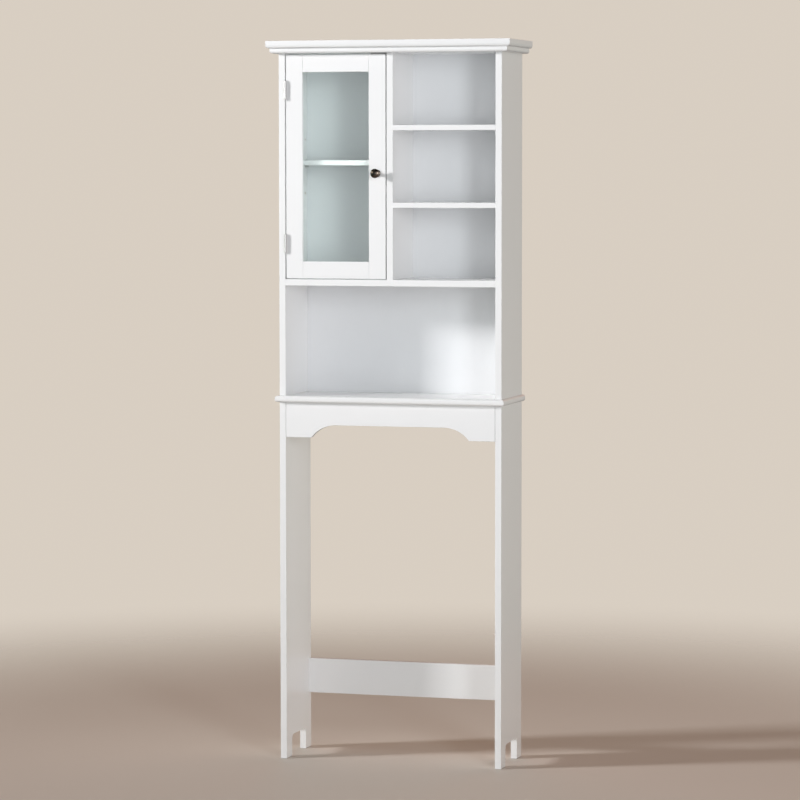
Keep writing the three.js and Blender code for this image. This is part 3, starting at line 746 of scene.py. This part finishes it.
class RACK_OT_cabinet_panels(bpy.types.Operator):
    """Side panels, centre divider, shelves and ceiling, with grooves and shelf pin holes."""

    bl_idname = "rack.cabinet_panels"
    bl_label = "Cabinet boards"

    def execute(self, context):
        sizes = context.scene.rack_sizes
        plain = ("wide_shelf", "ceiling_panel", "lower_cubby_shelf", "upper_cubby_shelf", "adjustable_shelf")
        for node in plain:
            install(soften(board(node), sizes.arris), node, "painted_board")

        back_low, back_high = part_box("back_panel")
        for side, sign in (("left", -1), ("right", 1)):
            node = f"{side}_side_panel"
            low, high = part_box(node)
            inner = high.x if sign < 0 else low.x
            groove_ends = sorted((inner - sign * MM, inner + sign * sizes.groove_depth))
            groove = block(
                (groove_ends[0], back_low.y - sizes.groove_lip, low.z - MM),
                (groove_ends[1], back_high.y + sizes.clearance, high.z + MM),
            )
            panel = soften(cut(board(node), groove), sizes.arris)
            if sign < 0:
                drill(panel, *self.pin_holes("left", inner, 1), *hinge_pilots("frame", inner, 1))
            install(panel, node, "painted_board")

        divider = soften(board("centre_divider"), sizes.arris)
        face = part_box("centre_divider")[0].x
        drill(divider, *self.pin_holes("right", face, -1))
        install(divider, "centre_divider", "painted_board")
        return {"FINISHED"}

    def pin_holes(self, side, face, outward):
        sizes = bpy.context.scene.rack_sizes
        depth = 9 * MM
        cutters = []
        for place in ("front", "rear"):
            middle = centre_of(f"shelf_pin_{side}_{place}")
            for row in (-1, 0, 1):
                height = middle.z + row * sizes.pin_spacing
                inner = (face - outward * depth, middle.y, height)
                outer = (face + outward * MM, middle.y, height)
                cutters.append(rod(sizes.pin_hole, inner, outer, sides=32))
        return cutters


class RACK_OT_back_panel(bpy.types.Operator):
    """Thin back panel, white on the face and bare at the rear."""

    bl_idname = "rack.back_panel"
    bl_label = "Back panel"

    def execute(self, context):
        low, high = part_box("back_panel")
        sheet = soften(board("back_panel"), 0.3 * MM, segments=2)
        sheet.data.materials.append(finish_named("bare_fibre"))
        for face in sheet.data.polygons:
            face.material_index = int(face.center.y > low.y + 0.4 * MM)
        install(sheet, "back_panel", "white_hardboard")
        return {"FINISHED"}


# ------------------------------------------------------------------ door


class RACK_OT_door_frame(bpy.types.Operator):
    """Stiles and rails of the door, tenoned together and rebated for the glass."""

    bl_idname = "rack.door_frame"
    bl_label = "Door frame"

    def execute(self, context):
        sizes = context.scene.rack_sizes
        hinge_low, hinge_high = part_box("door_hinge_stile")
        latch_low, latch_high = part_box("door_latch_stile")
        for name in ("hinge", "latch"):
            node = f"door_{name}_stile"
            stile = cut(board(node), self.glass_seat(), *self.mortises())
            soften(stile, sizes.arris)
            if name == "hinge":
                drill(stile, *hinge_pilots("door", hinge_low.x, -1))
            else:
                knob = centre_of("door_knob")
                front = (knob.x, latch_low.y - MM, knob.z)
                back = (knob.x, latch_high.y + MM, knob.z)
                drill(stile, rod(2.3 * MM, front, back, sides=32))
            install(stile, node, "painted_board")

        for name in ("top", "bottom"):
            node = f"door_{name}_rail"
            low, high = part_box(node)
            seam = sizes.door_seam
            bar = block((hinge_high.x + seam, low.y, low.z), (latch_low.x - seam, high.y, high.z))
            cut(bar, self.glass_seat())
            soften(bar, sizes.arris)
            tenons = [self.tenon(node, side) for side in ("left", "right")]
            install(fused(bar, *tenons), node, "painted_board")
        return {"FINISHED"}

    def glass_seat(self):
        """The rebate behind the front lip, as a cutter over the whole opening."""
        sizes = bpy.context.scene.rack_sizes
        glass_low, glass_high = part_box("door_glass")
        margin = sizes.rebate_width - self.glass_overlap()
        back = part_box("door_hinge_stile")[1].y
        return block(
            (glass_low.x - margin, glass_low.y, glass_low.z - margin),
            (glass_high.x + margin, back + MM, glass_high.z + margin),
        )

    def glass_overlap(self):
        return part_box("door_hinge_stile")[1].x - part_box("door_glass")[0].x

    def tenon(self, node, side, clearance=0):
        """A stub tenon that starts inside a rail's end, or with clearance the cutter for its mortise."""
        low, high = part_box(node)
        glass_low, glass_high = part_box("door_glass")
        seat = bpy.context.scene.rack_sizes.rebate_width
        shoulder_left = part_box("door_hinge_stile")[1].x
        shoulder_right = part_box("door_latch_stile")[0].x
        opening_low = glass_low.z + self.glass_overlap()
        opening_high = glass_high.z - self.glass_overlap()
        bottom = (low.z if node == "door_bottom_rail" else opening_high + seat) + 4 * MM
        top = (opening_low - seat if node == "door_bottom_rail" else high.z) - 4 * MM
        root = 2 * MM
        x_range = (low.x, shoulder_left + root) if side == "left" else (shoulder_right - root, high.x)
        grow = Vector((clearance,) * 3)
        return block(
            Vector((x_range[0], low.y + 5 * MM, bottom)) - grow,
            Vector((x_range[1], low.y + 10 * MM, top)) + grow,
        )

    def mortises(self):
        clearance = bpy.context.scene.rack_sizes.clearance
        return [
            self.tenon(node, side, clearance)
            for node in ("door_top_rail", "door_bottom_rail")
            for side in ("left", "right")
        ]


class RACK_OT_glazing(bpy.types.Operator):
    """Door glass with ground edges, held by four chamfered beads."""

    bl_idname = "rack.glazing"
    bl_label = "Glass and beads"

    def execute(self, context):
        install(soften(board("door_glass"), 0.3 * MM, segments=2), "door_glass", "clear_glass")
        glass = centre_of("door_glass")
        for name in ("left", "right", "bottom", "top"):
            node = f"glass_bead_{name}"
            low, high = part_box(node)
            bead = board(node)
            if name in ("left", "right"):
                inner = high.x if high.x < glass.x else low.x
                inner_back = lambda points: on_plane(0, inner)(points) and on_plane(1, high.y)(points)
            else:
                inner = high.z if high.z < glass.z else low.z
                inner_back = lambda points: on_plane(2, inner)(points) and on_plane(1, high.y)(points)
            round_edges(bead, 3 * MM, inner_back, segments=5)
            install(soften(bead, 0.3 * MM, segments=2), node, "painted_board")
        return {"FINISHED"}


class RACK_OT_knob(bpy.types.Operator):
    """Turned mushroom knob with its foot, neck and domed head, and the screw behind it."""

    bl_idname = "rack.knob"
    bl_label = "Knob"

    def execute(self, context):
        low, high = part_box("door_knob")
        centre = centre_of("door_knob")
        radius = (high.x - low.x) / 2
        reach = high.y - low.y
        rim = reach - 7 * MM
        profile = [
            (0, 0),
            (5.6 * MM, 0),
            *arc((5.4 * MM, 0.7 * MM), 0.7 * MM, -60, 80, steps=5),
            *arc((9.6 * MM, 6.4 * MM), (5.6 * MM, 4.9 * MM), 262, 180, steps=7),
            *arc((9.6 * MM, 9.4 * MM), (5.6 * MM, 5.2 * MM), 180, 118, steps=6),
            *arc((radius - 2.4 * MM, rim + 0.6 * MM), (2.4 * MM, 2.8 * MM), -70, 40, steps=9),
            (radius - 1 * MM, rim + 2.9 * MM),
            (6.5 * MM, rim + 4.7 * MM),
            *arc((0, rim + 5 * MM), (6.2 * MM, 2 * MM), 0, 90, steps=9),
        ]
        knob = turned(profile, (centre.x, high.y, centre.z), -Y, steps=72)
        bore = rod(2.3 * MM, (centre.x, high.y + MM, centre.z), (centre.x, high.y - 10 * MM, centre.z))
        install(cut(knob, bore), "door_knob", "dark_nickel")

        screw_low, screw_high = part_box("knob_screw")
        profile = [
            (0, 0),
            (2.6 * MM, 0),
            *arc((2.6 * MM, 0.9 * MM), (1.4 * MM, 0.9 * MM), -70, 0, steps=5),
            (4 * MM, 2 * MM),
            (2 * MM, 2 * MM),
            (2 * MM, screw_high.y - screw_low.y),
            (0, screw_high.y - screw_low.y),
        ]
        screw = turned(profile, (centre.x, screw_high.y, centre.z), -Y)
        cut(screw, *cross_recess((centre.x, screw_high.y, centre.z), -Y, 4.4 * MM))
        install(screw, "knob_screw", "zinc")
        return {"FINISHED"}


# ------------------------------------------------------------------ fittings


def cross_recess(face, inward, span, depth=1.1 * MM, width=0.8 * MM):
    """Two tapered slots that cross, as cutters sunk from a screw head's face."""
    face, inward = Vector(face), Vector(inward)
    slots = []
    for turn in (0, math.pi / 2):
        slot = block((-span / 2, -width / 2, -depth), (span / 2, width / 2, depth))
        with opened(slot, "FACE", lambda points: all(point.z > 0 for point in points)):
            bpy.ops.transform.resize(value=(0.45, 0.7, 1), center_override=(0, 0, depth))
        slot.rotation_euler = (0, 0, turn)
        settle(slot)
        slot.location = face
        slot.rotation_euler = inward.to_track_quat("Z", "Y").to_euler()
        slots.append(settle(slot))
    return slots


def wood_screw(tip, head, length_):
    """A countersunk screw from its tip to the flat of its head."""
    tip, head = Vector(tip), Vector(head)
    shank = 1.25 * MM
    profile = [
        (0, 0),
        (0.5 * MM, 0.8 * MM),
        (shank, 2.5 * MM),
        (shank, length_ - 1.2 * MM),
        (2.45 * MM, length_ - 0.32 * MM),
        *arc((2.45 * MM, length_ - 0.2 * MM), (0.15 * MM, 0.15 * MM), -30, 60, steps=3),
        (2.3 * MM, length_),
        (0, length_),
    ]
    inward = (tip - head).normalized()
    screw = turned(profile, tip, -inward, steps=32)
    return cut(screw, *cross_recess(head, inward, 3.2 * MM, depth=0.8 * MM, width=0.6 * MM))


def countersink(face, outward):
    """A cutter for the seat of a wood screw's head, at a point on a plate's face."""
    return cone(2.2 * MM, 3.1 * MM, face - outward * 1.4 * MM, face + outward * 0.2 * MM)


HINGE_SCREWS = [
    f"{hinge}_hinge_{{}}_screw_{end}" for hinge in ("upper", "lower") for end in ("top", "bottom")
]


def hinge_pilots(leaf, face, outward):
    """Pilot holes behind the four screws of the frame leaves or of the door leaves."""
    cutters = []
    for pattern in HINGE_SCREWS:
        low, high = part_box(pattern.format(leaf))
        middle = (low + high) / 2
        tip = low.x if outward > 0 else high.x
        start = (tip - outward * 0.5 * MM, middle.y, middle.z)
        cutters.append(rod(1.55 * MM, start, (face + outward * MM, middle.y, middle.z), sides=24))
    return cutters


class RACK_OT_hinges(bpy.types.Operator):
    """Two butt hinges, each with two leaves, five knuckles, a pin and four screws."""

    bl_idname = "rack.hinges"
    bl_label = "Hinges"

    knuckles = 5
    knuckle_radius = 3.2 * MM
    knuckle_gap = 0.3 * MM
    plate_thickness = 1.2 * MM

    def execute(self, context):
        for hinge in ("upper", "lower"):
            pin_low, pin_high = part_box(f"{hinge}_hinge_pin")
            axis = (pin_low + pin_high) / 2
            self.leaf(f"{hinge}_hinge_frame_leaf", axis, 0, outward=1)
            self.leaf(f"{hinge}_hinge_door_leaf", axis, 1, outward=-1)
            self.pin(f"{hinge}_hinge_pin", axis)
        self.screws()
        return {"FINISHED"}

    def leaf(self, node, axis, first, outward):
        low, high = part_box(node)
        plate_x = self.plate_planes(node)
        clear = self.knuckle_radius + 0.35 * MM
        plate = block((plate_x[0], axis.y + clear, low.z), (plate_x[1], high.y, high.z))
        far_corners = lambda points: on_plane(1, high.y)(points) and abs(points[0].z - points[1].z) < TOUCH
        round_edges(plate, 2.2 * MM, far_corners, segments=6)
        soften(plate, 0.15 * MM, segments=2)
        kind = "frame" if "frame" in node else "door"
        hinge = node.split("_")[0]
        face = plate_x[1] if outward > 0 else plate_x[0]
        for end in ("top", "bottom"):
            screw = centre_of(f"{hinge}_hinge_{kind}_screw_{end}")
            cut(plate, countersink(Vector((face, screw.y, screw.z)), X * outward))
        parts = [plate]
        pitch = (high.z - low.z) / self.knuckles
        for number in range(first, self.knuckles, 2):
            bottom = low.z + number * pitch + self.knuckle_gap / 2
            top = bottom + pitch - self.knuckle_gap
            knuckle = rod(self.knuckle_radius, (axis.x, axis.y, bottom), (axis.x, axis.y, top), sides=40)
            cut(knuckle, rod(1.6 * MM, (axis.x, axis.y, bottom - MM), (axis.x, axis.y, top + MM), sides=32))
            soften(knuckle, 0.3 * MM)
            tongue = block((plate_x[0], axis.y + 2 * MM, bottom), (plate_x[1], axis.y + clear + MM, top))
            parts += [tongue, knuckle]
        install(fused(*parts), node, "bright_nickel")

    def plate_planes(self, node):
        """The two X planes of a leaf's plate, which lies on the frame or on the door's edge."""
        if "frame" in node:
            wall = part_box("left_side_panel")[1].x
            return wall, wall + self.plate_thickness
        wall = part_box("door_hinge_stile")[0].x
        return wall - self.plate_thickness, wall

    def pin(self, node, axis):
        low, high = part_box(node)
        half = (high.z - low.z) / 2
        head = (high.x - low.x) / 2
        ball = 1.6 * MM
        profile = [
            *arc((0, -half + ball), (head, ball), -90, 0, steps=6),
            (1.4 * MM, -half + ball),
            (1.4 * MM, half - ball),
            *arc((0, half - ball), (head, ball), 0, 90, steps=6),
        ]
        install(turned(profile, axis, Z, steps=40), node, "bright_nickel")

    def screws(self):
        for kind, outward in (("frame", 1), ("door", -1)):
            first = None
            for pattern in HINGE_SCREWS:
                node = pattern.format(kind)
                low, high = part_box(node)
                middle = (low + high) / 2
                if first is None:
                    tip, head = (low.x, high.x) if outward > 0 else (high.x, low.x)
                    first = wood_screw((tip, middle.y, middle.z), (head, middle.y, middle.z), high.x - low.x)
                    origin = middle
                    master = copied(first)
                    install(first, node, "bright_nickel")
                else:
                    install(copied(master, middle - origin), node, "bright_nickel")
            bpy.data.objects.remove(master)


class RACK_OT_shelf_pins(bpy.types.Operator):
    """Four plated pins under the adjustable shelf."""

    bl_idname = "rack.shelf_pins"
    bl_label = "Shelf pins"

    def execute(self, context):
        for side, outward in (("left", X), ("right", -X)):
            low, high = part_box(f"shelf_pin_{side}_front")
            length_ = high.x - low.x
            collar = 8 * MM
            profile = [
                (0, 0),
                (1.8 * MM, 0),
                (2.2 * MM, 0.5 * MM),
                (2.2 * MM, collar),
                (3.2 * MM, collar),
                *arc((3.2 * MM, collar + 0.6 * MM), (0.4 * MM, 0.5 * MM), -90, 90, steps=4),
                (2.5 * MM, collar + 1.2 * MM),
                (2.5 * MM, length_ - 0.8 * MM),
                *arc((1.7 * MM, length_ - 0.8 * MM), 0.8 * MM, 10, 90, steps=4),
                (0, length_),
            ]
            middle = (low + high) / 2
            base = Vector((low.x if outward.x > 0 else high.x, middle.y, middle.z))
            front = turned(profile, base, outward, steps=32)
            rear = copied(front, centre_of(f"shelf_pin_{side}_rear") - middle)
            install(front, f"shelf_pin_{side}_front", "bright_nickel")
            install(rear, f"shelf_pin_{side}_rear", "bright_nickel")
        return {"FINISHED"}


class RACK_OT_cams(bpy.types.Operator):
    """Cam locks that draw the apron, stretcher and legs tight."""

    bl_idname = "rack.cams"
    bl_label = "Cam locks"

    groups = (
        (("left_leg_cam_front", "left_leg_cam_rear"), X),
        (("right_leg_cam_front", "right_leg_cam_rear"), -X),
        (("front_apron_cam_left", "front_apron_cam_right"), Y),
        (("rear_stretcher_cam_left", "rear_stretcher_cam_right"), Y),
    )

    def execute(self, context):
        for (first, second), outward in self.groups:
            low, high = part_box(first)
            middle = (low + high) / 2
            depth = abs((high - low).dot(outward))
            foot = middle - outward * depth / 2
            radius = (high - low).z / 2
            profile = [
                (0, 0),
                (radius - 0.5 * MM, 0),
                (radius, 0.5 * MM),
                *arc((radius - 0.5 * MM, depth - 0.5 * MM), 0.5 * MM, 0, 90, steps=4),
                (radius - 1.6 * MM, depth),
                (radius - 1.8 * MM, depth - 0.3 * MM),
                (0, depth - 0.3 * MM),
            ]
            cam = turned(profile, foot, outward, steps=56)
            cut(cam, *cross_recess(middle + outward * depth / 2, -outward, 9 * MM, 2.8 * MM, 1.8 * MM))
            other = copied(cam, centre_of(second) - middle)
            install(cam, first, "zinc")
            install(other, second, "zinc")
        return {"FINISHED"}


class RACK_OT_catch(bpy.types.Operator):
    """Magnetic catch under the ceiling and its strike plate on the door."""

    bl_idname = "rack.catch"
    bl_label = "Magnetic catch"

    def execute(self, context):
        sizes = context.scene.rack_sizes
        low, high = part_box("catch_housing")
        magnet_low, magnet_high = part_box("catch_magnet")
        gap = Vector((sizes.clearance,) * 3)
        case = board("catch_housing")
        round_edges(case, 2.5 * MM, lambda points: on_plane(2, low.z)(points) and on_plane(1, high.y)(points))
        pocket = block((magnet_low.x - gap.x, low.y - MM, magnet_low.z - gap.z), magnet_high + gap)
        install(soften(cut(case, pocket), 0.4 * MM), "catch_housing", "white_plastic")
        install(soften(board("catch_magnet"), 0.3 * MM, segments=2), "catch_magnet", "ferrite")

        plate_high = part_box("catch_strike_plate")[1]
        plate = board("catch_strike_plate")
        upright = lambda points: all(abs(points[0][axis] - points[1][axis]) < TOUCH for axis in (0, 2))
        round_edges(plate, 2 * MM, upright, segments=6)
        soften(plate, 0.2 * MM, segments=2)
        screw_low, screw_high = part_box("strike_screw")
        middle = (screw_low + screw_high) / 2
        face = Vector((middle.x, plate_high.y, middle.z))
        cut(plate, countersink(face, Y))
        install(plate, "catch_strike_plate", "bright_nickel")
        screw = wood_screw((middle.x, screw_low.y, middle.z), face, screw_high.y - screw_low.y)
        install(screw, "strike_screw", "zinc")
        return {"FINISHED"}


# ------------------------------------------------------------------ stage


class RACK_OT_stage(bpy.types.Operator):
    """Camera, soft studio lights, pale floor and plain background."""

    bl_idname = "rack.stage"
    bl_label = "Studio"

    # Soft glows of the room: the side each comes from, and its strength in red, green and blue.
    GLOWS = (
        ((0, -1, 0), (0.355, 0.403, 0.428)),
        ((1, -1, 0), (0.895, 0.833, 0.841)),
        ((1, 1, 0), (0.642, 0.641, 0.554)),
        ((0, 1, 1), (0.75, 0.439, 0.316)),
        ((-1, 0, 0), (0.16, 0.28, 0.18)),
        ((-1, 0, 1), (0.125, 0.116, 0.096)),
    )
    GLOW_WIDTH = math.radians(50)

    def execute(self, context):
        self.camera()
        self.floor()
        self.background()
        self.light("key", (-5.73, -2.92, 3.035), (0, 0, 1.55), (0.9, 0.9), 35.5, 50, (1.0, 0.98, 0.988))
        self.light("fill", (3.221, -4.433, 1.679), (0, 0, 1.2), (0.9, 2.2), 73.3, 180, (0.917, 0.969, 1.0))
        context.scene.view_settings.view_transform = "Standard"
        return {"FINISHED"}

    def camera(self):
        stage = bpy.context.scene.rack_stage
        low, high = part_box("left_leg_panel")
        pivot_y = (low.y + high.y) / 2
        bpy.ops.object.camera_add(
            location=(
                math.sin(stage.turn) * stage.distance,
                pivot_y - math.cos(stage.turn) * stage.distance,
                stage.height,
            ),
            rotation=(math.pi / 2 - stage.pitch, 0, stage.turn + stage.aim),
        )
        camera = bpy.context.active_object
        camera.rotation_euler.rotate_axis("Z", stage.roll)
        camera.name = "camera"
        camera.data.lens = stage.lens
        camera.data.sensor_width = 36
        camera.data.clip_end = 50
        bpy.context.scene.camera = camera

    def floor(self):
        """A round floor that fades into the background towards its rim."""
        bpy.ops.object.select_all(action="DESELECT")
        bpy.ops.mesh.primitive_circle_add(vertices=96, radius=3.2, fill_type="NGON", location=(0, 0, -0.0005))
        floor = settle(bpy.context.active_object)
        floor.name = "floor"
        pale = bpy.context.scene.rack_stage.floor
        finish = Finish("plain_pale_floor")
        place = finish.place()
        cloud = finish.noise(place, 3, detail=3)
        reach = finish.node("ShaderNodeVectorMath", {"operation": "LENGTH"}, {0: place}, output="Value")
        ground = finish.node(
            "ShaderNodeBsdfPrincipled",
            inputs={
                "Base Color": finish.mix(cloud, opaque(pale, 0.98), opaque(pale)),
                "Roughness": 0.6,
            },
        )
        clear = finish.node("ShaderNodeBsdfTransparent")
        fade = reach.above(0.9, 2.1)
        finish.output(finish.node("ShaderNodeMixShader", inputs={0: fade, 1: ground, 2: clear}))
        floor.data.materials.append(finish.material)

    def background(self):
        """Plain colour behind the rack and through its glass, and a room of soft glows that lights it."""
        world = bpy.data.worlds.new("room")
        bpy.context.scene.world = world
        world.use_nodes = True
        room = Shading(world.node_tree)
        backdrop = bpy.context.scene.rack_stage.backdrop
        seen = room.node("ShaderNodeBackground", inputs={"Color": opaque(backdrop)})
        direction = room.node("ShaderNodeTexCoord", output="Generated")
        glow = (0, 0, 0)
        edge = math.cos(self.GLOW_WIDTH)
        for side, tint in self.GLOWS:
            facing = room.node(
                "ShaderNodeVectorMath",
                {"operation": "DOT_PRODUCT"},
                {0: direction, 1: Vector(side).normalized()},
                output="Value",
            )
            share = facing.above(edge, 1 - edge)
            inputs = {0: tint, 1: share, 2: glow}
            glow = room.node("ShaderNodeVectorMath", {"operation": "MULTIPLY_ADD"}, inputs)
        lit = room.node("ShaderNodeBackground", inputs={"Color": glow})
        camera_ray = room.node("ShaderNodeLightPath", output="Is Camera Ray")
        through_glass = room.node("ShaderNodeLightPath", output="Is Transmission Ray")
        bounces = room.node("ShaderNodeLightPath", output="Ray Depth")
        pane_only = through_glass * (1 - bounces.above(3.4, 0.2))
        shader = room.node("ShaderNodeMixShader", inputs={0: camera_ray + pane_only, 1: lit, 2: seen})
        room.output(shader, "ShaderNodeOutputWorld")

    def light(self, name, location, target, size, power, spread, tint):
        aim = (Vector(target) - Vector(location)).to_track_quat("-Z", "Y").to_euler()
        bpy.ops.object.light_add(type="AREA", radius=1, location=location, rotation=aim)
        lamp = bpy.context.active_object
        lamp.name = f"{name}_light"
        lamp.data.shape = "RECTANGLE"
        lamp.data.size, lamp.data.size_y = size
        lamp.data.energy = power
        lamp.data.spread = math.radians(spread)
        lamp.data.color = tint


# ------------------------------------------------------------------ add-on


PIECE_OPERATORS = (
    RACK_OT_legs,
    RACK_OT_cross_rails,
    RACK_OT_deck,
    RACK_OT_cabinet_panels,
    RACK_OT_back_panel,
    RACK_OT_crown,
    RACK_OT_door_frame,
    RACK_OT_glazing,
    RACK_OT_knob,
    RACK_OT_hinges,
    RACK_OT_shelf_pins,
    RACK_OT_cams,
    RACK_OT_catch,
    RACK_OT_stage,
)


class RACK_PT_sidebar(bpy.types.Panel):
    """Sidebar panel with the rack's settings and its building steps."""

    bl_idname = "RACK_PT_sidebar"
    bl_label = "Storage rack"
    bl_space_type = "VIEW_3D"
    bl_region_type = "UI"
    bl_category = "Rack"

    def draw(self, context):
        for group in (context.scene.rack_sizes, context.scene.rack_colours, context.scene.rack_stage):
            column = self.layout.column(align=True)
            for name in group.__annotations__:
                column.prop(group, name)
        for operator in PIECE_OPERATORS:
            self.layout.operator(operator.bl_idname)


CLASSES = (RackSizes, RackColours, StageSettings, *PIECE_OPERATORS, RACK_PT_sidebar)


def register():
    for made in CLASSES:
        bpy.utils.register_class(made)
    bpy.types.Scene.rack_sizes = bpy.props.PointerProperty(type=RackSizes)
    bpy.types.Scene.rack_colours = bpy.props.PointerProperty(type=RackColours)
    bpy.types.Scene.rack_stage = bpy.props.PointerProperty(type=StageSettings)


def unregister():
    del bpy.types.Scene.rack_stage
    del bpy.types.Scene.rack_colours
    del bpy.types.Scene.rack_sizes
    for made in reversed(CLASSES):
        bpy.utils.unregister_class(made)


def main():
    register()
    for operator in PIECE_OPERATORS:
        group, name = operator.bl_idname.split(".")
        getattr(getattr(bpy.ops, group), name)()


if __name__ == "__main__":
    main()
